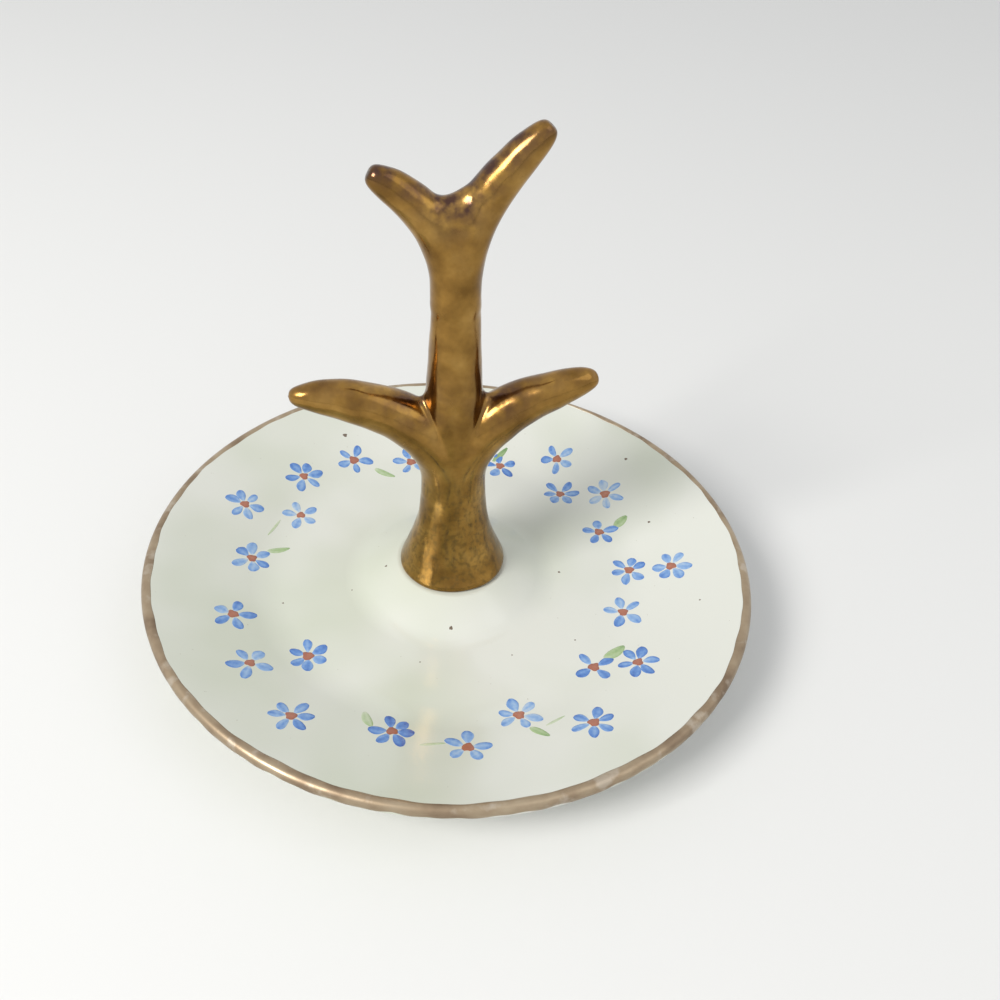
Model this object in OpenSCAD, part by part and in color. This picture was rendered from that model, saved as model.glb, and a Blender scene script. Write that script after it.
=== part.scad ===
// Ring dish: a shallow porcelain saucer with a small gilded ring tree luted upright in its middle.
// Millimetres, +Z up. The origin is the middle of the face that the foot ring stands on, and the
// tree's two arms and two tines lie in the XZ plane.

/* [Dish] */
// Diameter of the dish over its lip
dish_d = 95; // [88:1:110]
// Depth of the well below the top of the lip
well_depth = 5.2; // [4.2:0.1:6.6]
// Slope of the flange, in degrees
flange_angle = 17; // [14:0.5:22]
// Thickness of the flange where it leaves the well
flange_t = 2.4; // [2:0.1:3]
// Thickness of the lip at its outer edge
lip_t = 2.1; // [1.6:0.1:2.4]
// Thickness of the floor under the well
floor_t = 3.2; // [2.6:0.1:3.8]
// Radius of the soft bend between the well and the flange
bend_r = 18; // [6:1:24]

/* [Boss] */
// Rise of the boss above the floor of the well
boss_rise = 3.2; // [1.5:0.1:4]
// Diameter at which the boss runs out into the well
boss_d = 31; // [28:0.5:36]
// Radius of the hollow sweep from the boss into the well
boss_sweep_r = 8; // [2:0.5:10]
// Level shoulder of the boss that shows round the foot of the tree
boss_shoulder = 1.1; // [0.8:0.1:2]

/* [Foot ring] */
// Height of the foot ring
foot_ring_h = 3.4; // [2.4:0.1:5]
// Width of the foot ring where it joins the dish
foot_ring_w = 3.6; // [3:0.1:5]
// Width of the bearing face that the dish stands on
bearing_w = 2.4; // [1.8:0.1:2.8]
// Distance of the foot ring from the edge of the level underside
foot_ring_inset = 3.2; // [1:0.1:6]

/* [Lip gilding] */
// Width of the gilt band over the lip, seen from above
band_w = 2.4; // [1.4:0.1:4]
// Depth to which the band goes down the outer edge
band_drop = 1.5; // [1:0.1:1.5]
// Thickness of the gilding
gilding_t = 0.2; // [0.15:0.01:0.3]

/* [Trunk] */
// Diameter of the flared foot of the trunk
trunk_foot_d = 17; // [14:0.1:19]
// Radius of the rounded lower edge of the foot
foot_edge_r = 0.9; // [0.4:0.1:1.4]
// Diameter of the trunk at its waist, just under the arms
waist_d = 9.6; // [8.8:0.1:11]
// Height of the waist above the boss
waist_h = 14.8; // [12:0.1:18]
// Height at which the flare of the foot has run out
flare_h = 17; // [10:0.5:20]
// Diameter of the stem where it forks
stem_d = 6.5; // [5.5:0.1:7.5]
// Height of the fork above the boss
fork_h = 46; // [42:0.5:52]
// Lean of the trunk towards the left, in degrees
trunk_lean = 1.3; // [0:0.1:3]

/* [Arms] */
// Height above the boss at which the arms start to leave the trunk
arm_root_h = 15; // [12:0.5:18]
// Diameter of an arm at its root
arm_root_d = 9.3; // [7.5:0.1:9.5]
// Reach of the left arm's tip from the middle of the foot
left_arm_reach = 23.5; // [18:0.1:30]
// Height of the left arm's tip above the boss
left_arm_tip_h = 31.8; // [28:0.1:36]
// Rise of the left arm at its tip, in degrees
left_arm_tip_angle = -1; // [-15:1:30]
// Reach of the right arm's tip from the middle of the foot
right_arm_reach = 19.6; // [16:0.1:28]
// Height of the right arm's tip above the boss
right_arm_tip_h = 34.1; // [28:0.1:38]
// Rise of the right arm at its tip, in degrees
right_arm_tip_angle = 16; // [-10:1:35]
// Radius of the clay smoothed into the corner between an arm and the stem
armpit_r = 1.2; // [0.5:0.1:3]

/* [Tines] */
// Reach of the left tine's tip from the middle of the foot
left_tine_reach = 12.1; // [9:0.1:16]
// Height of the left tine's tip above the boss
left_tine_tip_h = 63.4; // [60:0.1:68]
// Rise of the left tine at its tip, in degrees
left_tine_tip_angle = 28; // [15:1:50]
// Reach of the right tine's tip from the middle of the foot
right_tine_reach = 9.5; // [7:0.1:14]
// Height of the right tine's tip above the boss
right_tine_tip_h = 69.4; // [62:0.1:76]
// Rise of the right tine at its tip, in degrees
right_tine_tip_angle = 50; // [30:1:65]
// Radius of the saddle of clay smoothed into the fork
crotch_r = 3; // [1:0.1:5]

/* [Hidden] */

porcelain = [0.86, 0.87, 0.83];
biscuit = [0.8, 0.77, 0.7];
gilt = [0.55, 0.4, 0.16];
worn_gilt = [0.55, 0.47, 0.36];

// Round forms have this many sides where they are drawn as polygons
round_sides = 96;
// Points along each rounded corner of an outline
corner_steps = 8;
// Sides of a limb, and rings along it
limb_sides = 28;
limb_rings = 22;
// Above 1, the rings crowd towards the tip, where the limb rounds off
ring_crowding = 1.6;
// Cutting forms reach past what they cut by this much
spare = 1;

// How fast the flare of the foot dies out, and how fast arms and tines thin towards their tips
flare_power = 2.25;
arm_taper_power = 0.35;
tine_taper_power = 0.25;
// Handles of a limb's middle line at its root and at its tip, as shares of the straight distance
arm_pulls = [0.43, 0.33];
tine_pulls = [0.5, 0.29];
// A saddle is this share as deep from front to back as the limbs, which leaves a groove on both faces
depth_share = 0.7;
// An armpit's saddle starts this far inside the stem that it grows out of
saddle_bite = 0.06;
// Steps round a saddle, the sides of its oval sections, and how thick each section is
saddle_steps = 9;
saddle_sides = 32;
section_t = 0.02;

// Heights of the dish's levels above the table
underside_z = foot_ring_h;
floor_z = underside_z + floor_t;
seat_z = floor_z + boss_rise;
lip_z = floor_z + well_depth;

// The lip is rounded by two arcs, each with a radius of this share of its thickness
rounding_share = 0.45;
dish_r = dish_d / 2;
lip_round = rounding_share * lip_t;
lip_corner_z = lip_z + lip_round * (tan(flange_angle) + 1 / cos(flange_angle) - 1);
well_r = dish_r - (lip_corner_z - floor_z) / tan(flange_angle);
underside_r = well_r + (flange_t / cos(flange_angle) - floor_t) / tan(flange_angle);

trunk_foot_r = trunk_foot_d / 2;
waist_r = waist_d / 2;
stem_r = stem_d / 2;
boss_top_r = trunk_foot_r - foot_edge_r + boss_shoulder;
boss_edge_r = boss_shoulder;
underside_bend_r = 4;

foot_ring_r = underside_r - foot_ring_inset;
foot_ring_draft = (foot_ring_w - bearing_w) / 2;
foot_ring_round = 0.5;

// The unit vector along v
function unit(v) = v / norm(v);

// Points of the arc of radius r that rounds the corner b between the neighbours a and c
function corner_arc(a, b, c, r) =
    let (
        u = unit(a - b),
        v = unit(c - b),
        half_angle = acos(u * v) / 2,
        setback = r / tan(half_angle),
        centre = b + unit(u + v) * r / sin(half_angle),
        first = b + u * setback - centre,
        last = b + v * setback - centre
    )
    [for (i = [0:corner_steps]) centre + r * unit(first + (last - first) * i / corner_steps)];

// Outline through corners given as [x, z, radius], where a radius of 0 leaves the corner sharp
function outline(corners) =
    let (
        count = len(corners),
        at = [for (c = corners) [c[0], c[1]]]
    )
    [
        for (i = [0:count - 1])
            each corners[i][2] == 0
                ? [at[i]]
                : corner_arc(at[(i + count - 1) % count], at[i], at[(i + 1) % count], corners[i][2])
    ];

// Radius of the trunk at height h above the boss, before its lower edge is rounded
function tapered_r(h) =
    waist_r + (stem_r - waist_r) * max(0, min(1, (h - waist_h) / (fork_h - waist_h)));
function flared_r(h) =
    tapered_r(h) + (trunk_foot_r - waist_r) * pow(max(0, 1 - h / flare_h), flare_power);
function edge_cut(h) =
    h < foot_edge_r ? foot_edge_r - sqrt(pow(foot_edge_r, 2) - pow(foot_edge_r - max(0, h), 2)) : 0;
function trunk_r(h) = flared_r(h) - edge_cut(h);

// Point and direction on the curve that four control points p give, at t from 0 to 1
function curve_at(p, t) =
    pow(1 - t, 3) * p[0] + 3 * pow(1 - t, 2) * t * p[1] + 3 * (1 - t) * t * t * p[2] + pow(t, 3) * p[3];
function curve_way(p, t) =
    unit(pow(1 - t, 2) * (p[1] - p[0]) + 2 * (1 - t) * t * (p[2] - p[1]) + t * t * (p[3] - p[2]));

// Direction of the leaning trunk in the tree's plane, as [x, height], and a point on its middle line
trunk_way = [-sin(trunk_lean), cos(trunk_lean)];
function on_trunk(h) = trunk_way * h / trunk_way[1];

// Control points of a limb's middle line: it starts along the trunk and ends with the tip's rise
function limb_line(root_h, tip, side, tip_angle, pulls) =
    let (
        root = on_trunk(root_h),
        span = norm(tip - root),
        tip_way = [side * cos(tip_angle), sin(tip_angle)]
    )
    [root, root + trunk_way * pulls[0] * span, tip - tip_way * pulls[1] * span, tip];

// A limb swept along its middle line: round sections that thin by a power law and close at the tip
module limb(line, root_r, taper_power) {
    stations = [for (i = [0:limb_rings - 1]) 1 - pow(1 - i / limb_rings, ring_crowding)];
    rings = [
        for (t = stations)
            let (
                middle = curve_at(line, t),
                way = curve_way(line, t),
                r = root_r * pow(1 - t, taper_power)
            )
            for (j = [0:limb_sides - 1])
                let (
                    across = r * cos(360 * j / limb_sides),
                    outward = r * sin(360 * j / limb_sides)
                )
                [middle[0] + way[1] * across, outward, middle[1] - way[0] * across]
    ];
    root_point = len(rings);
    tip_point = root_point + 1;
    last_ring = (limb_rings - 1) * limb_sides;
    sides = [
        for (i = [0:limb_rings - 2])
            for (j = [0:limb_sides - 1])
                let (
                    a = i * limb_sides + j,
                    b = i * limb_sides + (j + 1) % limb_sides,
                    c = b + limb_sides,
                    d = a + limb_sides
                )
                each [[a, d, c], [a, c, b]]
    ];
    root_cap = [for (j = [0:limb_sides - 1]) [root_point, j, (j + 1) % limb_sides]];
    tip_cap = [for (j = [0:limb_sides - 1]) [tip_point, last_ring + (j + 1) % limb_sides, last_ring + j]];
    polyhedron(
        points = concat(rings, [[line[0][0], 0, line[0][1]], [line[3][0], 0, line[3][1]]]),
        faces = concat(sides, root_cap, tip_cap),
        convexity = 4
    );
}

// Half section of the dish, without the groove that the gilding lies in
module dish_section() {
    polygon(outline([
        [0, underside_z, 0],
        [0, seat_z, 0],
        [boss_top_r, seat_z, boss_edge_r],
        [boss_d / 2, floor_z, boss_sweep_r],
        [well_r, floor_z, bend_r],
        [dish_r, lip_corner_z, lip_round],
        [dish_r, lip_corner_z - lip_t, lip_round],
        [underside_r, underside_z, underside_bend_r]
    ]));
}

// Half section of the gilding: the dish's own skin at the lip
module band_section() {
    intersection() {
        difference() {
            dish_section();
            offset(delta = -gilding_t)
                dish_section();
        }
        translate([dish_r - band_w, lip_z - band_drop])
            square([band_w + spare, band_drop + spare]);
    }
}

// The trunk from its flat foot to the flat top on which the fork sits
module trunk_form() {
    foot_steps = 6;
    body_steps = 30;
    foot_crowding = 1.3;
    heights = concat(
        [for (i = [0:foot_steps - 1]) foot_edge_r * (1 - cos(90 * i / foot_steps))],
        [for (i = [0:body_steps]) foot_edge_r + (fork_h - foot_edge_r) * pow(i / body_steps, foot_crowding)]
    );
    top = fork_h / cos(trunk_lean);
    rise = [for (h = heights) h * top / fork_h];
    difference() {
        rotate([0, -trunk_lean, 0])
            rotate_extrude($fn = round_sides)
                polygon(concat(
                    [[0, top], [0, -spare], [trunk_r(0), -spare]],
                    [for (i = [0:len(heights) - 1]) [trunk_r(heights[i]), rise[i]]]
                ));
        translate([-trunk_foot_d, -trunk_foot_d, -2 * spare])
            cube([2 * trunk_foot_d, 2 * trunk_foot_d, 2 * spare]);
    }
}

// Where a limb is at t: its middle, its radius, and the unit vector from there to its upper side
function limb_r(limb_form, t) = limb_form[1] * pow(1 - t, limb_form[2]);
function upwards(limb_form, side, t) =
    let (way = curve_way(limb_form[0], t))
    side * [-way[1], way[0]];
function above(limb_form, side, t, r) =
    curve_at(limb_form[0], t) + upwards(limb_form, side, t) * (limb_r(limb_form, t) + r);

// The t at which a circle of radius r that rolls along a limb's upper side first touches what
// stands beside it. gaps lists how far it is from touching at each t, as [gap, t].
function touching(gaps) = lookup(0, gaps);
scan = [for (i = [0:100]) i / 100];

// Oval sections in a row round the middle k of a saddle, each as far out as its own radius and
// the hollow ask, from one at start with radius start_r to one at end with radius end_r
module saddle(k, start, start_r, end, end_r) {
    function disc_way(i) = unit(unit(start - k) * (1 - i / saddle_steps) + unit(end - k) * i / saddle_steps);
    function disc_at(i) = k + disc_way(i) * (norm(start - k) + (norm(end - k) - norm(start - k)) * i / saddle_steps);
    module disc(i) {
        translate([disc_at(i)[0], 0, disc_at(i)[1]])
            rotate([0, atan2(-disc_way(i)[1], disc_way(i)[0]), 0])
                scale([1, depth_share, 1])
                    cylinder(
                        h = section_t,
                        r = start_r + (end_r - start_r) * i / saddle_steps,
                        center = true,
                        $fn = saddle_sides
                    );
    }
    for (i = [0:saddle_steps - 1])
        hull() {
            disc(i);
            disc(i + 1);
        }
}

// The half of the trunk's surroundings that belongs to the arm on the other side
module far_half(side) {
    rotate([0, -trunk_lean, 0])
        translate([side > 0 ? -trunk_foot_d : 0, -trunk_foot_d / 2, 0])
            cube([trunk_foot_d, trunk_foot_d, fork_h]);
}

// An arm with its root coped to the trunk and clay smoothed into the corner above it
module arm(tip, side, tip_angle) {
    form = [limb_line(arm_root_h, tip, side, tip_angle, arm_pulls), arm_root_d / 2, arm_taper_power];
    outwards = side * [trunk_way[1], -trunk_way[0]];
    gaps = [
        for (t = scan)
            let (k = above(form, side, t, armpit_r))
            [k * outwards - trunk_r(k * trunk_way) - armpit_r, t]
    ];
    t = touching(gaps);
    k = above(form, side, t, armpit_r);
    r = min(limb_r(form, t), trunk_r(k * trunk_way));
    difference() {
        union() {
            limb(form[0], form[1], form[2]);
            saddle(k, k - outwards * (armpit_r + saddle_bite + r), r, curve_at(form[0], t), limb_r(form, t));
        }
        trunk_form();
        far_half(side);
    }
}

// The plane in which the two tines meet stands halfway between the ways to their tips
fork = on_trunk(fork_h);
left_tine_tip = [-left_tine_reach, left_tine_tip_h];
right_tine_tip = [right_tine_reach, right_tine_tip_h];
mitre_way = unit(unit(left_tine_tip - fork) + unit(right_tine_tip - fork));
mitre_lean = atan2(mitre_way[0], mitre_way[1]);

// Both tines as they are before the cut, and the t at which the saddle's hollow leaves each
left_tine_form = [
    limb_line(fork_h, left_tine_tip, -1, left_tine_tip_angle, tine_pulls), stem_r, tine_taper_power
];
right_tine_form = [
    limb_line(fork_h, right_tine_tip, 1, right_tine_tip_angle, tine_pulls), stem_r, tine_taper_power
];
function tine_t(form, side) =
    touching([
        for (t = scan)
            [side * (above(form, side, t, crotch_r) - fork) * [mitre_way[1], -mitre_way[0]], t]
    ]);
left_t = tine_t(left_tine_form, -1);
right_t = tine_t(right_tine_form, 1);
crotch = (above(left_tine_form, -1, left_t, crotch_r) + above(right_tine_form, 1, right_t, crotch_r)) / 2;
crotch_section_r = (limb_r(left_tine_form, left_t) + limb_r(right_tine_form, right_t)) / 2;

// A tine with its half of the saddle, and with what lies beyond the mitre plane cut away
module tine(form, side, t) {
    reach = right_tine_tip_h;
    intersection() {
        union() {
            limb(form[0], form[1], form[2]);
            saddle(
                crotch,
                crotch - mitre_way * (crotch_r + crotch_section_r),
                crotch_section_r,
                curve_at(form[0], t),
                limb_r(form, t)
            );
        }
        translate([fork[0], 0, fork[1]])
            rotate([0, mitre_lean, 0])
                translate([side > 0 ? 0 : -reach, -reach / 2, -reach / 2])
                    cube([reach, reach, 2 * reach]);
    }
}

module dish() {
    color(porcelain)
        rotate_extrude($fn = round_sides)
            difference() {
                dish_section();
                band_section();
            }
}

module foot_ring() {
    outer = foot_ring_r;
    inner = foot_ring_r - foot_ring_w;
    color(biscuit)
        rotate_extrude($fn = round_sides)
            polygon(outline([
                [inner, underside_z, 0],
                [inner + foot_ring_draft, 0, foot_ring_round],
                [outer - foot_ring_draft, 0, foot_ring_round],
                [outer, underside_z, 0]
            ]));
}

module lip_gilding() {
    color(worn_gilt)
        rotate_extrude($fn = round_sides)
            band_section();
}

module trunk() {
    color(gilt)
        translate([0, 0, seat_z])
            trunk_form();
}

module left_arm() {
    color(gilt)
        translate([0, 0, seat_z])
            arm([-left_arm_reach, left_arm_tip_h], -1, left_arm_tip_angle);
}

module right_arm() {
    color(gilt)
        translate([0, 0, seat_z])
            arm([right_arm_reach, right_arm_tip_h], 1, right_arm_tip_angle);
}

module left_tine() {
    color(gilt)
        translate([0, 0, seat_z])
            tine(left_tine_form, -1, left_t);
}

module right_tine() {
    color(gilt)
        translate([0, 0, seat_z])
            tine(right_tine_form, 1, right_t);
}

dish();
foot_ring();
lip_gilding();
trunk();
left_arm();
right_arm();
left_tine();
right_tine();
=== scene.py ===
"""The looks of the ring dish: a glazed saucer with painted flowers, a worn gilt lip and a gilt ring tree.

Lengths are in millimetres and turn into metres where a mesh or a light is made. The frame is the
CAD's own: +Z up, the table at z = 0, the tree's arms and tines in the XZ plane.
"""

import math
from collections import namedtuple

import bpy
import numpy as np
from mathutils import Matrix, Vector


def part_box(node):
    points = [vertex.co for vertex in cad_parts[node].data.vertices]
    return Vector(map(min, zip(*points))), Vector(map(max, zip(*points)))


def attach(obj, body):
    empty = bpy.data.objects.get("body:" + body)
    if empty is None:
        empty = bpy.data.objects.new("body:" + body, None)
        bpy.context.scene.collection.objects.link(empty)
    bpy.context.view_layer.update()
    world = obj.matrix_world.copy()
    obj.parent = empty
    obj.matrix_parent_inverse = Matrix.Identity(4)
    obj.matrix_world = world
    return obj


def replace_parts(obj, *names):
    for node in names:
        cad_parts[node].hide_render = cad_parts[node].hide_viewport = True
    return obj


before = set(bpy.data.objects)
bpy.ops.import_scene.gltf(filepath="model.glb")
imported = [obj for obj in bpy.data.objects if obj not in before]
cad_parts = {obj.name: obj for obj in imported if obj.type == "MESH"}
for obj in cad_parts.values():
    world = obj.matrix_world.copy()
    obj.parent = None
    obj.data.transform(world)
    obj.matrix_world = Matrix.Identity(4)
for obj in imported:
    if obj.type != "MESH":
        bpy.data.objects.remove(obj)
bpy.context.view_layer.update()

MM = 0.001
rng = np.random.default_rng(24)

# Heights and radii that the CAD nodes give
SEAT_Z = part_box("trunk")[0].z / MM
UNDERSIDE_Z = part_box("dish")[0].z / MM
LIP_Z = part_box("lip_gilding")[1].z / MM
DISH_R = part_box("lip_gilding")[1].x / MM

# The photograph's camera: where it stands, how it is turned, in degrees, and its picture, in pixels
EYE = np.array([-14.16, -115.28, 121.26])
YAW, PITCH, ROLL = 10.4, 40.4, 4.8
PICTURE = 1000
FOCAL = 1000
SENSOR = 36


# Camera

def view_axes():
    """The camera's right, up and forward directions."""
    yaw, pitch, roll = np.radians([YAW, PITCH, ROLL])
    forward = np.array([math.sin(yaw) * math.cos(pitch), math.cos(yaw) * math.cos(pitch), -math.sin(pitch)])
    level = np.cross(forward, [0, 0, 1])
    level /= np.linalg.norm(level)
    upright = np.cross(level, forward)
    right = level * math.cos(roll) + upright * math.sin(roll)
    up = upright * math.cos(roll) - level * math.sin(roll)
    return right, up, forward


def add_camera():
    right, up, forward = view_axes()
    data = bpy.data.cameras.new("camera")
    data.sensor_width = SENSOR
    data.lens = SENSOR * FOCAL / PICTURE
    data.clip_start = 0.01
    camera = bpy.data.objects.new("camera", data)
    turn = Matrix([[right[i], up[i], -forward[i]] for i in range(3)]).to_4x4()
    camera.matrix_world = Matrix.Translation(Vector(EYE * MM)) @ turn
    bpy.context.scene.collection.objects.link(camera)
    bpy.context.scene.camera = camera


# Meshes and materials

def add_mesh(name, points, faces, materials, values=None, face_material=None):
    """A smooth mesh in the collection, with float values per point under their names."""
    mesh = bpy.data.meshes.new(name)
    mesh.from_pydata((np.asarray(points) * MM).tolist(), [], faces)
    mesh.polygons.foreach_set("use_smooth", [True] * len(mesh.polygons))
    for m in materials:
        mesh.materials.append(m)
    if face_material is not None:
        mesh.polygons.foreach_set("material_index", face_material)
    for key, data in (values or {}).items():
        mesh.attributes.new(key, "FLOAT", "POINT").data.foreach_set("value", np.asarray(data, np.float32))
    mesh.update()
    obj = bpy.data.objects.new(name, mesh)
    bpy.context.scene.collection.objects.link(obj)
    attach(obj, "root")
    return obj


class Paint:
    """A node material with a Principled shader, and short ways to add the nodes that feed it."""

    def __init__(self, name, **inputs):
        self.material = bpy.data.materials.new(name)
        self.material.use_nodes = True
        self.nodes = self.material.node_tree.nodes
        self.links = self.material.node_tree.links
        self.shader = self.nodes["Principled BSDF"]
        for key, value in inputs.items():
            self.shader.inputs[key.replace("_", " ")].default_value = value
        self.place = self.nodes.new("ShaderNodeTexCoord").outputs["Object"]

    def noise(self, size, detail=3, stretch=(1, 1, 1), seed=0):
        """Noise with features of about that size, in millimetres."""
        mapping = self.nodes.new("ShaderNodeMapping")
        mapping.inputs["Scale"].default_value = [1 / (size * MM * s) for s in stretch]
        mapping.inputs["Location"].default_value = (seed * 7.3, seed * 3.1, seed * 5.7)
        self.links.new(self.place, mapping.inputs["Vector"])
        node = self.nodes.new("ShaderNodeTexNoise")
        node.inputs["Scale"].default_value = 1
        node.inputs["Detail"].default_value = detail
        self.links.new(mapping.outputs["Vector"], node.inputs["Vector"])
        return node.outputs["Fac"]

    def value(self, name):
        """A value that each point of the mesh carries."""
        node = self.nodes.new("ShaderNodeAttribute")
        node.attribute_name = name
        return node.outputs["Fac"]

    def math(self, operation, a, b, clamp=False):
        node = self.nodes.new("ShaderNodeMath")
        node.operation = operation
        node.use_clamp = clamp
        for socket, x in zip(node.inputs, (a, b)):
            if isinstance(x, (int, float)):
                socket.default_value = x
            else:
                self.links.new(x, socket)
        return node.outputs["Value"]

    def ramp(self, factor, stops):
        """Colours or greys along a factor, as (place, colour) or (place, grey)."""
        node = self.nodes.new("ShaderNodeValToRGB")
        elements = node.color_ramp.elements
        while len(elements) < len(stops):
            elements.new(0.5)
        for element, (at, tone) in zip(elements, stops):
            element.position = at
            element.color = (tone, tone, tone, 1) if isinstance(tone, (int, float)) else (*tone, 1)
        self.links.new(factor, node.inputs["Fac"])
        return node.outputs["Color"]

    def mix(self, factor, a, b):
        """Colour a where the factor is 0 and b where it is 1."""
        node = self.nodes.new("ShaderNodeMix")
        node.data_type = "RGBA"
        for key, x in (("Factor_Float", factor), ("A_Color", a), ("B_Color", b)):
            socket = next(s for s in node.inputs if s.identifier == key)
            if isinstance(x, tuple):
                socket.default_value = (*x, 1)
            else:
                self.links.new(x, socket)
        return next(s for s in node.outputs if s.identifier == "Result_Color")

    def feed(self, name, output):
        self.links.new(output, self.shader.inputs[name])

    def bump(self, height, depth, strength):
        """Relief of that depth in millimetres."""
        node = self.nodes.new("ShaderNodeBump")
        node.inputs["Distance"].default_value = depth * MM
        node.inputs["Strength"].default_value = strength
        self.links.new(height, node.inputs["Height"])
        self.feed("Normal", node.outputs["Normal"])


GLAZE_LIGHT = (0.70, 0.71, 0.65)
GLAZE_DARK = (0.60, 0.63, 0.53)
GOLD = (0.40, 0.235, 0.065)
BRONZE = (0.29, 0.16, 0.04)
DARK_BRONZE = (0.18, 0.095, 0.024)
# Dark tarnish colour, used on the tree both as tarnish and as painted shade
TARNISH_AND_SHADE = (0.085, 0.045, 0.035)
GILT_GRAIN = (0.13, 0.085, 0.03)
GLAZE_SPECK = (0.30, 0.26, 0.19)
BAND_TONES = ((0.20, 0.14, 0.09), (0.31, 0.235, 0.155), (0.40, 0.32, 0.22))
BAND_WORN = (0.50, 0.44, 0.36)


def glaze_material():
    paint = Paint("porcelain_glaze", Roughness=0.14, IOR=1.5)
    tone = paint.ramp(paint.noise(26, 2), [(0.35, GLAZE_DARK), (0.62, GLAZE_LIGHT)])
    specks = paint.ramp(paint.noise(0.55, 2, seed=3), [(0.76, 0.0), (0.80, 0.5)])
    paint.feed("Base Color", paint.mix(specks, tone, GLAZE_SPECK))
    paint.bump(paint.noise(3.5, 2, seed=1), 0.02, 0.35)
    return paint.material


def gilt_material():
    paint = Paint("tree_gilding", Metallic=1.0)
    tone = paint.ramp(paint.noise(4.5, 5), [(0.32, DARK_BRONZE), (0.5, BRONZE), (0.68, GOLD)])
    # Patches of tarnish and painted shade: the dark colour goes where the tree's dark value is high, in the
    # crotch, the armpits and on the faces that look up
    patches = paint.ramp(paint.noise(2.2, 4, seed=2), [(0.36, 0.0), (0.60, 1.0)])
    dull_and_shaded = paint.math("MULTIPLY", patches, paint.value("tarnish_and_shade"), clamp=True)
    tone = paint.mix(dull_and_shaded, tone, TARNISH_AND_SHADE)
    grains = paint.ramp(paint.noise(0.7, 4, seed=4), [(0.50, 0.0), (0.60, 1.0)])
    mottle = paint.math("MULTIPLY", grains, paint.value("mottle"), clamp=True)
    paint.feed("Base Color", paint.mix(mottle, tone, GILT_GRAIN))
    rough = paint.ramp(paint.noise(1.6, 4, seed=5), [(0.35, 0.13), (0.70, 0.28)])
    paint.feed("Roughness", rough)
    paint.bump(paint.noise(0.8, 3, seed=6), 0.04, 0.15)
    return paint.material


def band_material():
    paint = Paint("lip_gilding_worn", Metallic=0.7)
    streaks = paint.noise(5.0, 5, stretch=(1, 1, 0.4), seed=7)
    tone = paint.ramp(streaks, list(zip((0.3, 0.5, 0.7), BAND_TONES)))
    worn = paint.ramp(paint.noise(3.0, 5, seed=8), [(0.57, 0.0), (0.68, 0.6)])
    paint.feed("Base Color", paint.mix(worn, tone, BAND_WORN))
    paint.feed("Roughness", paint.ramp(streaks, [(0.3, 0.5), (0.7, 0.28)]))
    paint.bump(paint.noise(0.5, 3, seed=9), 0.03, 0.3)
    return paint.material


def enamel_material(name, stops, seed):
    """Watery overglaze enamel: its tone follows each stroke's own wash of colour."""
    paint = Paint(name, Roughness=0.2, IOR=1.5)
    drift = paint.math("MULTIPLY_ADD", paint.noise(0.6, 3, seed=seed), 0.5)
    drift.node.inputs[2].default_value = -0.25
    wash = paint.math("ADD", paint.value("wash"), drift, clamp=True)
    paint.feed("Base Color", paint.ramp(wash, stops))
    return paint.material


def biscuit_material():
    paint = Paint("biscuit", Roughness=0.75)
    tone = paint.ramp(paint.noise(2.5, 5, seed=12), [(0.3, (0.45, 0.41, 0.33)), (0.7, (0.66, 0.63, 0.55))])
    paint.feed("Base Color", tone)
    paint.bump(paint.noise(0.3, 3, seed=13), 0.05, 0.5)
    return paint.material


# Dish, in the solids' own measures

FLOOR_T = 3.2
BOSS_RISE = 3.2
FLANGE_ANGLE = math.radians(17)
FLANGE_T = 2.4
LIP_T = 2.1
ROUNDING_SHARE = 0.45
LIP_ROUND = ROUNDING_SHARE * LIP_T
# The gilt band's width from above was narrowed: the solids have 2.4
BAND_W = 1.5
BAND_DROP = 1.5
BAND_T = 0.05
FLOOR_Z = SEAT_Z - BOSS_RISE
LIP_CORNER_Z = LIP_Z + LIP_ROUND * (math.tan(FLANGE_ANGLE) + 1 / math.cos(FLANGE_ANGLE) - 1)
WELL_R = DISH_R - (LIP_CORNER_Z - FLOOR_Z) / math.tan(FLANGE_ANGLE)
UNDERSIDE_R = WELL_R + (FLANGE_T / math.cos(FLANGE_ANGLE) - FLOOR_T) / math.tan(FLANGE_ANGLE)
BOSS_TOP_R, BOSS_TOP_ROUND = 8.7, 1.1
BOSS_FOOT_R, BOSS_FOOT_ROUND = 15.5, 8
WELL_ROUND = 18
UNDERSIDE_ROUND = 4
PROFILE_GAP = 0.75
# Departures from a true turned form, and the radii over which they set in
WARP_START, WARP_REACH = 27, 20
WARP, THIRD_WARP, SETTLING = 0.16, 0.06, 0.03
OUT_OF_ROUND = 0.0012
GLAZE_WAVE = 0.02


def rounded(corners, steps=16):
    """Points of an outline through corners given as (r, z, radius)."""
    points = []
    for i, (x, z, radius) in enumerate(corners):
        b = np.array([x, z])
        if radius == 0:
            points.append(b)
            continue
        a = np.array(corners[i - 1][:2])
        c = np.array(corners[(i + 1) % len(corners)][:2])
        u = (a - b) / np.linalg.norm(a - b)
        v = (c - b) / np.linalg.norm(c - b)
        half = math.acos(u @ v) / 2
        middle = b + (u + v) / np.linalg.norm(u + v) * radius / math.sin(half)
        first = b + u * radius / math.tan(half) - middle
        last = b + v * radius / math.tan(half) - middle
        for k in range(steps + 1):
            way = first + (last - first) * k / steps
            points.append(middle + radius * way / np.linalg.norm(way))
    return np.array(points)


def spaced(points, gap):
    """The same line with points no further apart than the gap."""
    out = [points[0]]
    for a, b in zip(points[:-1], points[1:]):
        n = max(1, math.ceil(np.linalg.norm(b - a) / gap))
        out += [a + (b - a) * k / n for k in range(1, n + 1)]
    return np.array(out)


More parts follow.
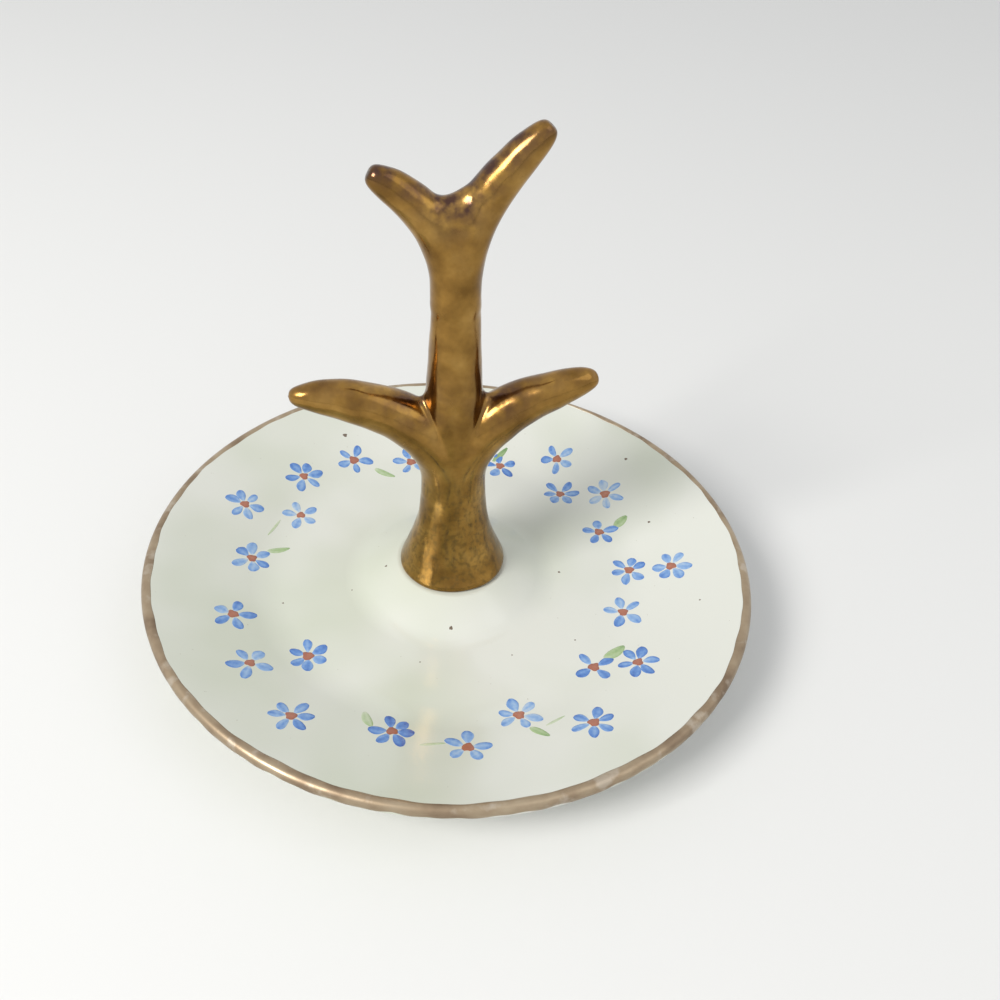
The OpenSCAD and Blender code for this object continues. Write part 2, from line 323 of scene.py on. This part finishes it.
PROFILE = spaced(rounded([
    (0, SEAT_Z, 0),
    (BOSS_TOP_R, SEAT_Z, BOSS_TOP_ROUND),
    (BOSS_FOOT_R, FLOOR_Z, BOSS_FOOT_ROUND),
    (WELL_R, FLOOR_Z, WELL_ROUND),
    (DISH_R, LIP_CORNER_Z, LIP_ROUND),
    (DISH_R, LIP_CORNER_Z - LIP_T, LIP_ROUND),
    (UNDERSIDE_R, UNDERSIDE_Z, UNDERSIDE_ROUND),
    (0, UNDERSIDE_Z, 0),
]), PROFILE_GAP)
ALONG = np.concatenate([[0], np.cumsum(np.linalg.norm(np.diff(PROFILE, axis=0), axis=1))])
TOP = int(np.argmax(PROFILE[:, 1]))


def hand_made(points):
    """Small departures from a true turned form: a warped flange, a lip out of round, a wavy glaze."""
    x, y = points[..., 0], points[..., 1]
    r, turn = np.hypot(x, y), np.arctan2(y, x)
    out = np.clip((r - WARP_START) / WARP_REACH, 0, 1) ** 2
    off_boss = np.clip((r - 9) / 6, 0, 1)
    scale = 1 - OUT_OF_ROUND * out * (1.4 + np.sin(2 * turn + 0.6) + 0.4 * np.sin(5 * turn + 2))
    lift = WARP * out * np.sin(2 * turn + 0.9) + THIRD_WARP * out * np.sin(3 * turn + 2.4)
    lift = lift + GLAZE_WAVE * off_boss * np.sin(x / 4.1 + 1.3) * np.sin(y / 4.7 + 0.4)
    return np.stack([x * scale, y * scale, points[..., 2] + lift - SETTLING * out], axis=-1)


def glaze_height(r):
    """Height of the dish's upper surface at radius r, before its small departures."""
    return np.interp(r, PROFILE[:TOP, 0], PROFILE[:TOP, 1])


def add_dish(material):
    sides = 300
    turns = np.linspace(0, 2 * np.pi, sides, endpoint=False)
    ring = PROFILE[1:-1]
    points = np.stack([
        np.outer(ring[:, 0], np.cos(turns)),
        np.outer(ring[:, 0], np.sin(turns)),
        np.repeat(ring[:, 1:], sides, axis=1),
    ], axis=-1).reshape(-1, 3)
    poles = [[0, 0, PROFILE[0, 1]], [0, 0, PROFILE[-1, 1]]]
    points = hand_made(np.concatenate([points, poles]))
    rows = len(ring)
    top_pole, low_pole = rows * sides, rows * sides + 1
    last = (rows - 1) * sides
    faces = []
    for j in range(sides):
        k = (j + 1) % sides
        for row in range(0, last, sides):
            faces.append((row + j, row + sides + j, row + sides + k, row + k))
        faces.append((top_pole, j, k))
        faces.append((low_pole, last + k, last + j))
    obj = add_mesh("dish_glazed", points, faces, [material])
    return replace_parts(obj, "dish")


def film_faces(rows, columns):
    """Indices for a film of paint: two skins over a grid of points that share the grid's border."""
    top = np.arange(rows * columns).reshape(rows, columns)
    low = top + rows * columns
    low[[0, -1], :] = top[[0, -1], :]
    low[:, [0, -1]] = top[:, [0, -1]]
    faces = []
    for i in range(rows - 1):
        for j in range(columns - 1):
            faces.append((top[i, j], top[i + 1, j], top[i + 1, j + 1], top[i, j + 1]))
            faces.append((low[i, j], low[i, j + 1], low[i + 1, j + 1], low[i + 1, j]))
    return faces


def without_loose(faces):
    """The points that the faces use, and the same faces over those points alone."""
    used, places = np.unique(np.array(faces), return_inverse=True)
    return used, places.reshape(len(faces), -1)


def on_profile(at):
    """Radius and height of the dish's outline at a length along it."""
    return np.interp(at, ALONG, PROFILE[:, 0]), np.interp(at, ALONG, PROFILE[:, 1])


def add_band(material):
    """The gilding: a film over the lip, with a wavering inner edge and a chipped outer one."""
    sides, columns = 720, 13
    turns = np.linspace(0, 2 * np.pi, sides, endpoint=False)
    start = np.interp(DISH_R - BAND_W, PROFILE[:TOP, 0], ALONG[:TOP])
    outer = slice(TOP, len(PROFILE))
    end = np.interp(-(LIP_Z - BAND_DROP), -PROFILE[outer, 1], ALONG[outer])
    waver = 0.12 * np.sin(7 * turns + 1) + 0.09 * np.sin(19 * turns + 2) + 0.05 * np.sin(53 * turns)
    chips = 0.25 * np.sin(11 * turns + 3) * np.sin(29 * turns + 1) + 0.14 * np.sin(71 * turns + 2)
    across = np.linspace(0, 1, columns)
    at = (start + waver)[:, None] * (1 - across) + (end - 0.15 + chips)[:, None] * across
    r, z = on_profile(at)
    ahead = 0.05
    way = np.stack(on_profile(at + ahead), -1) - np.stack([r, z], -1)
    way /= np.linalg.norm(way, axis=-1, keepdims=True)
    rise = BAND_T * (1 - np.abs(2 * across - 1) ** 8) - 0.3 * BAND_T
    skins = []
    for lift in (rise, np.where((across > 0) & (across < 1), -BAND_T, rise)):
        rr, zz = r - way[..., 1] * lift, z + way[..., 0] * lift
        skins.append(np.stack([rr * np.cos(turns)[:, None], rr * np.sin(turns)[:, None], zz], -1))
    top = np.arange(sides * columns).reshape(sides, columns)
    low = top + sides * columns
    low[:, [0, -1]] = top[:, [0, -1]]
    faces = []
    for i in range(sides):
        k = (i + 1) % sides
        for j in range(columns - 1):
            faces.append((top[i, j], top[i, j + 1], top[k, j + 1], top[k, j]))
            faces.append((low[i, j], low[k, j], low[k, j + 1], low[i, j + 1]))
    used, faces = without_loose(faces)
    points = hand_made(np.concatenate(skins).reshape(-1, 3))[used]
    obj = add_mesh("lip_gilding_worn", points, faces.tolist(), [material])
    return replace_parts(obj, "lip_gilding")


# Painted flowers

# The flowers: the pixel of the middle, as read in the photograph, and then a general impression of the
# rest: the turn of the first petal in degrees, the number of petals and the strength of the blue
FLOWERS = [
    (245, 504, 100, 6, 0.50), (304, 476, 70, 6, 0.60), (301, 515, 95, 5, 0.35), (354, 460, 60, 5, 0.70),
    (411, 462, 90, 5, 0.60), (500, 466, 80, 5, 0.75), (557, 459, 90, 5, 0.50), (560, 494, 45, 6, 0.60),
    (605, 494, 75, 6, 0.22), (599, 532, 80, 5, 0.65), (629, 570, 60, 6, 0.60), (671, 566, 95, 6, 0.50),
    (623, 612, 85, 5, 0.55), (594, 667, 20, 4, 0.70), (638, 662, 50, 6, 0.75), (594, 722, 65, 6, 0.60),
    (519, 715, 90, 6, 0.30), (468, 747, 70, 5, 0.50), (392, 731, 95, 6, 0.90), (291, 716, 110, 6, 0.60),
    (308, 656, 80, 6, 0.65), (250, 663, 40, 5, 0.50), (233, 614, 75, 5, 0.55), (252, 558, 85, 6, 0.55),
]
# Leaves and stems, which are a general impression too: the pixels of the two ends, the width in millimetres
# and the strength of the green
LEAVES = [
    (374, 468, 396, 477, 1.5, 0.45), (492, 462, 508, 447, 1.3, 0.85), (614, 528, 627, 515, 1.9, 0.60),
    (603, 659, 625, 645, 2.0, 0.55), (529, 727, 551, 736, 1.4, 0.60), (364, 711, 372, 727, 1.6, 0.25),
    (266, 551, 291, 548, 1.3, 0.50), (281, 519, 267, 536, 0.5, 0.15), (545, 726, 566, 715, 0.5, 0.15),
    (418, 745, 447, 743, 0.6, 0.12),
]
# Specks fired into the glaze: pixel and radius in millimetres. The first six are in the photograph, and the
# last six are made up
SPECKS = [
    (345, 435, 0.42), (626, 459, 0.30), (649, 522, 0.24),
    (451, 628, 0.30), (559, 572, 0.22), (386, 566, 0.20),
    (283, 603, 0.16), (575, 640, 0.14), (420, 662, 0.13),
    (512, 655, 0.12), (352, 590, 0.12), (700, 600, 0.16),
]
PETAL_START, PETAL_END, PETAL_W = 0.6, 3.4, 1.75
FILM = 0.03
# A film's border dips into the glaze by this share of its thickness
DIP = 0.6


def on_glaze(px, py):
    """The point (x, y) of the dish's upper surface that a pixel of the photograph shows."""
    right, up, forward = view_axes()
    ray = forward + right * (px - PICTURE / 2) / FOCAL + up * (PICTURE / 2 - py) / FOCAL
    z = FLOOR_Z
    for _ in range(12):
        spot = EYE + ray * (z - EYE[2]) / ray[2]
        z = float(glaze_height(math.hypot(spot[0], spot[1])))
    return spot[:2]


def film(flat, rows, columns, thickness=FILM):
    """Points of a film of paint over flat points (x, y), which dips into the glaze at its border."""
    grid = flat.reshape(rows, columns, 2)
    i = np.linspace(-1, 1, rows)[:, None]
    j = np.linspace(-1, 1, columns)[None, :]
    body = (1 - np.abs(i) ** 6) * (1 - np.abs(j) ** 4)
    inner = (np.abs(i) < 1) & (np.abs(j) < 1)
    skins = []
    for lift in (thickness * ((1 + DIP) * body - DIP), np.where(inner, -2 * thickness, -DIP * thickness)):
        z = glaze_height(np.hypot(grid[..., 0], grid[..., 1])) + lift
        skins.append(np.concatenate([grid, z[..., None]], -1).reshape(-1, 3))
    return hand_made(np.concatenate(skins))


def stroke(middle, way, start, end, width, blunt, wobble):
    """Flat points of one brush stroke: it swells from its start to a blunt or a pointed end."""
    rows, columns = 13, 9
    u = np.linspace(0, 1, rows)[:, None]
    v = np.linspace(-1, 1, columns)[None, :]
    swell = np.sin(np.pi * np.clip(u, 0.02, 0.985) ** blunt) ** 0.62
    half = width / 2 * swell * (1 + wobble[0] * np.sin(5 * u + wobble[1] * 9))
    bend = wobble[2] * np.sin(np.pi * u) * width
    tip = 1 + 0.05 * wobble[0] * np.cos(3 * v + wobble[1] * 7)
    along = (start + (end - start) * u) * tip
    side = np.array([-way[1], way[0]])
    flat = middle + along[..., None] * way + (v * half + bend)[..., None] * side
    u, v = np.broadcast_arrays(u, v)
    return flat.reshape(-1, 2), rows, columns, u, v


def joined(parts):
    """Several films as one mesh: points, faces, washes and the material of each face."""
    points, faces, wash, mats = [], [], [], []
    count = 0
    for p, f, w, m in parts:
        used, f = without_loose(f)
        points.append(p[used])
        faces += (f + count).tolist()
        wash.append(w[used])
        mats += [m] * len(f)
        count += len(used)
    return np.concatenate(points), faces, np.concatenate(wash), mats


def paint_stroke(middle, turn, start, end, width, blunt, tone, material_index):
    way = np.array([math.cos(turn), math.sin(turn)])
    wobble = rng.uniform([-0.12, 0, -0.12], [0.12, 1, 0.12])
    flat, rows, columns, u, v = stroke(middle, way, start, end, width, blunt, wobble)
    pool = np.clip((u - 0.5) / 0.5, 0, 1) ** 1.5
    rim = np.abs(v) ** 3
    streak = 0.10 * np.sin(5 * v + wobble[1] * 20 + 2 * u)
    fade = np.clip((0.28 - u) / 0.28, 0, 1)
    wash = tone + 0.28 * pool + 0.10 * rim + streak - 0.3 * fade
    wash = np.tile(np.clip(wash, 0, 1).reshape(-1), 2)
    return film(flat, rows, columns), film_faces(rows, columns), wash, material_index


def dab(middle, radius, tone, material_index, thickness=FILM):
    """A small blot: a grid bent into a disc with a slightly uneven border."""
    n = 9
    a = np.linspace(-1, 1, n)
    gx, gy = np.meshgrid(a, a, indexing="ij")
    x = gx * np.sqrt(1 - gy**2 / 2)
    y = gy * np.sqrt(1 - gx**2 / 2)
    turn = np.arctan2(y, x)
    phase = rng.uniform(0, 6)
    uneven = radius * (1 + 0.13 * np.sin(3 * turn + phase) + 0.07 * np.sin(5 * turn + 2 * phase))
    flat = np.stack([middle[0] + x * uneven, middle[1] + y * uneven], -1).reshape(-1, 2)
    wash = np.tile((tone + 0.25 * np.hypot(x, y) ** 2).reshape(-1), 2)
    return film(flat, n, n, thickness), film_faces(n, n), wash, material_index


def add_flowers(blue, red, green, dark):
    for number, (px, py, turn, petals, strength) in enumerate(FLOWERS, 1):
        middle = on_glaze(px, py)
        parts = []
        for i in range(petals):
            angle = math.radians(turn + YAW + 360 * i / petals + rng.uniform(-9, 9))
            end = PETAL_END * rng.uniform(0.86, 1.08)
            width = PETAL_W * rng.uniform(0.85, 1.15)
            tone = strength * 0.75 + rng.uniform(-0.12, 0.16)
            parts.append(paint_stroke(middle, angle, PETAL_START, end, width, 1.25, tone, 0))
        parts.append(dab(middle, rng.uniform(0.78, 0.98), 0.35 + 0.3 * strength, 1, FILM * 1.5))
        points, faces, wash, mats = joined(parts)
        add_mesh(f"flower_{number:02d}", points, faces, [blue, red], {"wash": wash}, mats)
    for number, (ax, ay, bx, by, width, strength) in enumerate(LEAVES, 1):
        a, b = on_glaze(ax, ay), on_glaze(bx, by)
        turn = math.atan2(b[1] - a[1], b[0] - a[0])
        part = paint_stroke(a, turn, 0, float(np.hypot(*(b - a))), width, 0.9, strength * 0.8, 0)
        points, faces, wash, mats = joined([part])
        add_mesh(f"leaf_{number:02d}", points, faces, [green], {"wash": wash}, mats)
    points, faces, wash, mats = joined([dab(on_glaze(px, py), r, 0.4, 0) for px, py, r in SPECKS])
    add_mesh("kiln_specks", points, faces, [dark], {"wash": wash}, mats)


# Ring tree, in the solids' own measures, with its heights from the seat up

LEAN = math.radians(1.3)
TRUNK_WAY = np.array([-math.sin(LEAN), math.cos(LEAN)])
FOOT_R, FOOT_EDGE_R = 8.5, 0.9
WAIST_R, WAIST_H = 4.8, 14.8
STEM_R, FORK_H = 3.25, 46.0
FLARE_H, FLARE_POWER = 17.0, 2.25
ARM_ROOT_H, ARM_ROOT_R, ARM_TAPER = 15.0, 4.65, 0.35
TINE_TAPER = 0.25

# The tip is (x, height), the rise at the tip is in degrees, and the pulls are the curve's two handles, as
# shares of the way from root to tip
Limb = namedtuple("Limb", "side tip rise root_h root_r taper pulls")
LEFT_ARM = Limb(-1, (-23.5, 31.8), -1, ARM_ROOT_H, ARM_ROOT_R, ARM_TAPER, (0.43, 0.33))
RIGHT_ARM = Limb(1, (19.6, 34.1), 16, ARM_ROOT_H, ARM_ROOT_R, ARM_TAPER, (0.43, 0.33))
LEFT_TINE = Limb(-1, (-12.1, 63.4), 28, FORK_H, STEM_R, TINE_TAPER, (0.5, 0.29))
RIGHT_TINE = Limb(1, (9.5, 69.4), 50, FORK_H, STEM_R, TINE_TAPER, (0.5, 0.29))
ARMPIT_R, CROTCH_R = 1.2, 3.0

# How far the clay is smoothed over a seam, how much more fills its corner, and how far the filling spreads
FORK_SEAM, FORK_FILL, FORK_SPREAD = 0.5, 5.0, 3.4
ARM_SEAM, ARM_FILL, ARM_SPREAD = 0.35, 2.6, 2.0
STEM_SEAM = 0.25
# Lumps all over the tree: height, waves per millimetre along X, Y and Z, and their phases
LUMPS = [(0.10, (0.55, 0.7, 0.38), (1.2, 0.4, 0.9)), (0.05, (1.3, 1.1, 0.9), (2, 1, 0))]
# Two swellings on the foot and a pit in the right arm's tip: height, place and spread
SWELLINGS = [(0.42, (-7.2, -3, 4.2), 14), (0.25, (6.8, -3, 2.2), 8), (-0.5, (19.3, -0.5, 34.6), 0.5)]
# How far the tree's foot goes down into the glaze, and how far its tip stays under the solids' top
SUNK, HEADROOM = 0.35, 0.02
GRID_LOW, GRID_HIGH = np.array([-26.0, -10.5, -1.5]), np.array([22.5, 10.5, 72.5])
FULL_STEP, QUICK_STEP = 0.26, 0.5


def control_points(limb):
    side, tip, rise, root_h, _, _, pulls = limb
    root = TRUNK_WAY * root_h / TRUNK_WAY[1]
    tip = np.array(tip, float)
    span = np.linalg.norm(tip - root)
    way = np.array([side * math.cos(math.radians(rise)), math.sin(math.radians(rise))])
    return np.array([root, root + TRUNK_WAY * pulls[0] * span, tip - way * pulls[1] * span, tip])


def curve(p, t):
    t = np.asarray(t, float)[..., None]
    return (1 - t) ** 3 * p[0] + 3 * (1 - t) ** 2 * t * p[1] + 3 * (1 - t) * t**2 * p[2] + t**3 * p[3]


def limb_distance(limb, points):
    """How far points are outside a tapering limb: from the nearest place of its middle line."""
    pieces = 44
    t = 1 - (1 - np.arange(pieces + 1) / pieces) ** 1.6
    line = curve(control_points(limb), t)
    a, d = line[:-1], np.diff(line, axis=0)
    x, z = points[:, None, 0] - a[:, 0], points[:, None, 2] - a[:, 1]
    along = np.clip((x * d[:, 0] + z * d[:, 1]) / (d**2).sum(1), 0, 1)
    gap = (x - along * d[:, 0]) ** 2 + (z - along * d[:, 1]) ** 2
    best = gap.argmin(1)
    pick = np.arange(len(points))
    at = t[best] + along[pick, best] * np.diff(t)[best]
    radius = limb.root_r * np.maximum(1 - at, 0) ** limb.taper
    return np.sqrt(gap[pick, best] + points[:, 1] ** 2) - radius


def trunk_radius(h):
    r = WAIST_R + (STEM_R - WAIST_R) * np.clip((h - WAIST_H) / (FORK_H - WAIST_H), 0, 1)
    r = r + (FOOT_R - WAIST_R) * np.maximum(0, 1 - np.maximum(h, 0) / FLARE_H) ** FLARE_POWER
    sunk = np.clip(FOOT_EDGE_R - h, 0, FOOT_EDGE_R)
    return r - (FOOT_EDGE_R - np.sqrt(FOOT_EDGE_R**2 - sunk**2))


def trunk_distance(points):
    h = points[:, 0] * TRUNK_WAY[0] + points[:, 2] * TRUNK_WAY[1]
    x = points[:, 0] * TRUNK_WAY[1] - points[:, 2] * TRUNK_WAY[0]
    above = np.maximum(h - FORK_H, 0)
    return np.sqrt(x**2 + points[:, 1] ** 2 + above**2) - trunk_radius(h)


def saddle_middle(limb, hollow):
    """Where a circle that rolls along a limb's upper side first touches the trunk's side."""
    p = control_points(limb)
    t = np.linspace(0.02, 0.9, 200)
    way = curve(p, t + 0.002) - curve(p, t - 0.002)
    way /= np.linalg.norm(way, axis=1, keepdims=True)
    up = limb.side * np.stack([-way[:, 1], way[:, 0]], 1)
    reach = limb.root_r * (1 - t) ** limb.taper + hollow
    k = curve(p, t) + up * reach[:, None]
    out = limb.side * (k @ np.array([TRUNK_WAY[1], -TRUNK_WAY[0]]))
    free = out - trunk_radius(k @ TRUNK_WAY) - hollow if limb.root_h < FORK_H else out
    return k[int(np.argmax(free > 0))]


ARMPITS = [saddle_middle(limb, ARMPIT_R) for limb in (LEFT_ARM, RIGHT_ARM)]
CROTCH = (saddle_middle(LEFT_TINE, CROTCH_R) + saddle_middle(RIGHT_TINE, CROTCH_R)) / 2


def near(points, middle, spread):
    """1 at a place in the tree's plane, falling off round it."""
    x, z = middle
    gap = (points[:, 0] - x) ** 2 + points[:, 1] ** 2 + (points[:, 2] - z) ** 2
    return np.exp(-gap / (2 * spread**2))


def merged(a, b, k):
    """The nearer of two distances, with their corner filled where k is large."""
    h = np.clip(0.5 + 0.5 * (b - a) / k, 0, 1)
    return b * (1 - h) + a * h - k * h * (1 - h)


def tree_distance(points):
    """How far points are outside the tree. The origin is the middle of its foot."""
    stem = trunk_distance(points)
    left, right = (limb_distance(tine, points) for tine in (LEFT_TINE, RIGHT_TINE))
    filling = FORK_SEAM + FORK_FILL * near(points, CROTCH - [0, CROTCH_R], FORK_SPREAD)
    solid = merged(stem, merged(left, right, filling), STEM_SEAM)
    for limb, armpit in zip((LEFT_ARM, RIGHT_ARM), ARMPITS):
        filling = ARM_SEAM + ARM_FILL * near(points, armpit, ARM_SPREAD)
        solid = merged(solid, limb_distance(limb, points), filling)
    for height, waves, phases in LUMPS:
        solid = solid + height * np.sin(points * waves + phases).prod(1)
    for height, place, spread in SWELLINGS:
        solid = solid - height * np.exp(-((points - place) ** 2).sum(1) / spread)
    return np.maximum(solid, -SUNK - points[:, 2])


def in_batches(function, points, size=40000):
    return np.concatenate([function(points[i:i + size]) for i in range(0, len(points), size)])


def surface_nets(values, origin, step):
    """Points and quads of a field's zero surface, with one point in each cell that it crosses."""
    shape = np.array(values.shape)
    cells = shape - 1
    corners, crossings = [], []
    for axis in range(3):
        low, high = [slice(None)] * 3, [slice(None)] * 3
        low[axis], high[axis] = slice(0, -1), slice(1, None)
        a, b = values[tuple(low)], values[tuple(high)]
        at = np.argwhere((a < 0) != (b < 0))
        u, v = (axis + 1) % 3, (axis + 2) % 3
        at = at[(at[:, u] > 0) & (at[:, u] < cells[u]) & (at[:, v] > 0) & (at[:, v] < cells[v])]
        va, vb = a[tuple(at.T)], b[tuple(at.T)]
        crossing = at.astype(float)
        crossing[:, axis] += va / (va - vb)
        quad = []
        for du, dv in ((0, 0), (-1, 0), (-1, -1), (0, -1)):
            cell = at.copy()
            cell[:, u] += du
            cell[:, v] += dv
            quad.append(np.ravel_multi_index(tuple(cell.T), tuple(cells)))
        quad = np.stack(quad, 1)
        quad[va >= 0] = quad[va >= 0][:, ::-1]
        corners.append(quad)
        crossings.append(crossing)
    quads, crossing = np.concatenate(corners), np.concatenate(crossings)
    ids, inverse = np.unique(quads, return_inverse=True)
    inverse = inverse.reshape(quads.shape)
    count = np.bincount(inverse.ravel(), minlength=len(ids))
    points = np.stack([
        np.bincount(inverse.ravel(), np.repeat(crossing[:, i], 4), len(ids)) / count for i in range(3)
    ], 1)
    return origin + points * step, inverse


def slopes(points, reach=0.03):
    """The direction in which the tree's distance grows, and how fast."""
    out = []
    for i in range(3):
        nudge = np.zeros(3)
        nudge[i] = reach
        ahead, behind = (in_batches(tree_distance, points + way) for way in (nudge, -nudge))
        out.append((ahead - behind) / (2 * reach))
    return np.stack(out, 1)


def add_tree(material):
    step = FULL_STEP
    block = 4
    blocks = np.ceil((GRID_HIGH - GRID_LOW) / (step * block)).astype(int)
    axes = [GRID_LOW[i] + (np.arange(blocks[i]) * block + (block - 1) / 2) * step for i in range(3)]
    coarse = np.stack(np.meshgrid(*axes, indexing="ij"), -1).reshape(-1, 3)
    values = in_batches(tree_distance, coarse).reshape(blocks)
    for axis in range(3):
        values = values.repeat(block, axis)
    fine = np.argwhere(np.abs(values) < 1.4 * step * block)
    values[tuple(fine.T)] = in_batches(tree_distance, GRID_LOW + fine * step)
    points, quads = surface_nets(values, GRID_LOW, step)
    # Two steps down the slope set the points on the surface
    for _ in range(2):
        slope = slopes(points)
        points -= slope * (in_batches(tree_distance, points) / np.maximum((slope**2).sum(1), 0.3))[:, None]
    up = slope[:, 2] / np.linalg.norm(slope, axis=1)
    z = points[:, 2]
    # The dark value: tarnish together with painted shade in the crotch and the armpits, and a painted
    # darker reflection on the faces that look up, most on the tines
    tarnish_and_shade = 0.9 * near(points, CROTCH - [0, 2], 3.0)
    tarnish_and_shade += 0.75 * sum(near(points, k, 3.0) for k in ARMPITS)
    tarnish_and_shade += 0.7 * np.clip((z - 50) / 14, 0, 1) * np.clip(0.3 + up, 0, 1)
    tarnish_and_shade += 0.35 * np.clip(up, 0, 1) * (z > 24)
    mottle = np.clip((20 - z) / 12, 0.08, 0.45)
    points = points + [0, 0, SEAT_Z]
    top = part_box("right_tine")[1].z / MM
    points[:, 2] = np.minimum(points[:, 2], top - HEADROOM)
    faces = [tuple(q) for q in quads.tolist()]
    values = {"tarnish_and_shade": np.clip(tarnish_and_shade, 0, 1), "mottle": mottle}
    obj = add_mesh("ring_tree", points, faces, [material], values)
    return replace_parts(obj, "trunk", "left_arm", "right_arm", "left_tine", "right_tine")


# Stage

def add_floor():
    # In metres, from the middle to an edge
    reach = 3.0
    mesh = bpy.data.meshes.new("floor")
    corners = [(x * reach, y * reach, 0) for x, y in ((-1, -1), (1, -1), (1, 1), (-1, 1))]
    mesh.from_pydata(corners, [], [(0, 1, 2, 3)])
    paint = Paint("floor_paint", Roughness=0.6)
    paint.shader.inputs["Base Color"].default_value = (0.80, 0.80, 0.79, 1)
    mesh.materials.append(paint.material)
    obj = bpy.data.objects.new("floor", mesh)
    bpy.context.scene.collection.objects.link(obj)


def add_lamp(name, azimuth, elevation, distance, size, power, colour):
    """A square soft lamp that looks at the dish, from an azimuth and an elevation in degrees."""
    data = bpy.data.lights.new(name, "AREA")
    data.size = size
    data.energy = power
    data.color = colour
    a, e = math.radians(azimuth), math.radians(elevation)
    way = Vector((math.cos(e) * math.cos(a), math.cos(e) * math.sin(a), math.sin(e)))
    lamp = bpy.data.objects.new(name, data)
    lamp.location = way * distance + Vector((0, 0, 0.02))
    lamp.rotation_euler = way.to_track_quat("Z", "Y").to_euler()
    bpy.context.scene.collection.objects.link(lamp)


def add_world():
    """White to the camera and in reflections, and a plain soft light on everything else."""
    world = bpy.data.worlds.new("world")
    bpy.context.scene.world = world
    world.use_nodes = True
    nodes, links = world.node_tree.nodes, world.node_tree.links
    light = nodes["Background"]
    light.inputs["Color"].default_value = (0.97, 0.985, 1.0, 1)
    light.inputs["Strength"].default_value = 0.55
    white = nodes.new("ShaderNodeBackground")
    white.inputs["Color"].default_value = (1, 1, 1, 1)
    white.inputs["Strength"].default_value = 1
    path = nodes.new("ShaderNodeLightPath")
    seen = path.outputs["Is Camera Ray"]
    for kind in ("Is Glossy Ray", "Is Transmission Ray"):
        either = nodes.new("ShaderNodeMath")
        either.operation = "MAXIMUM"
        links.new(seen, either.inputs[0])
        links.new(path.outputs[kind], either.inputs[1])
        seen = either.outputs[0]
    mix = nodes.new("ShaderNodeMixShader")
    links.new(seen, mix.inputs[0])
    links.new(light.outputs[0], mix.inputs[1])
    links.new(white.outputs[0], mix.inputs[2])
    links.new(mix.outputs[0], nodes["World Output"].inputs["Surface"])


blue_enamel = enamel_material("blue_enamel", [
    (0.0, (0.50, 0.60, 0.68)), (0.3, (0.27, 0.43, 0.68)),
    (0.62, (0.11, 0.25, 0.58)), (1.0, (0.03, 0.10, 0.38)),
], 21)
red_enamel = enamel_material("red_enamel", [
    (0.0, (0.55, 0.30, 0.20)), (0.5, (0.40, 0.15, 0.09)), (1.0, (0.24, 0.07, 0.05)),
], 22)
green_enamel = enamel_material("green_enamel", [
    (0.0, (0.56, 0.62, 0.46)), (0.5, (0.34, 0.47, 0.23)), (1.0, (0.12, 0.24, 0.08)),
], 23)
dark_speck = enamel_material("dark_speck", [(0.0, (0.10, 0.07, 0.05)), (1.0, (0.22, 0.17, 0.12))], 24)

add_camera()
add_dish(glaze_material())
add_band(band_material())
add_flowers(blue_enamel, red_enamel, green_enamel, dark_speck)
add_tree(gilt_material())

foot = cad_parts["foot_ring"]
foot.data.materials.clear()
foot.data.materials.append(biscuit_material())

add_floor()
add_world()
add_lamp("window", 212, 40, 0.8, 0.3, 5.2, (1.0, 0.985, 0.95))
add_lamp("fill", 330, 50, 1.2, 0.8, 1.6, (0.95, 0.97, 1.0))
bpy.context.scene.view_settings.view_transform = "Standard"
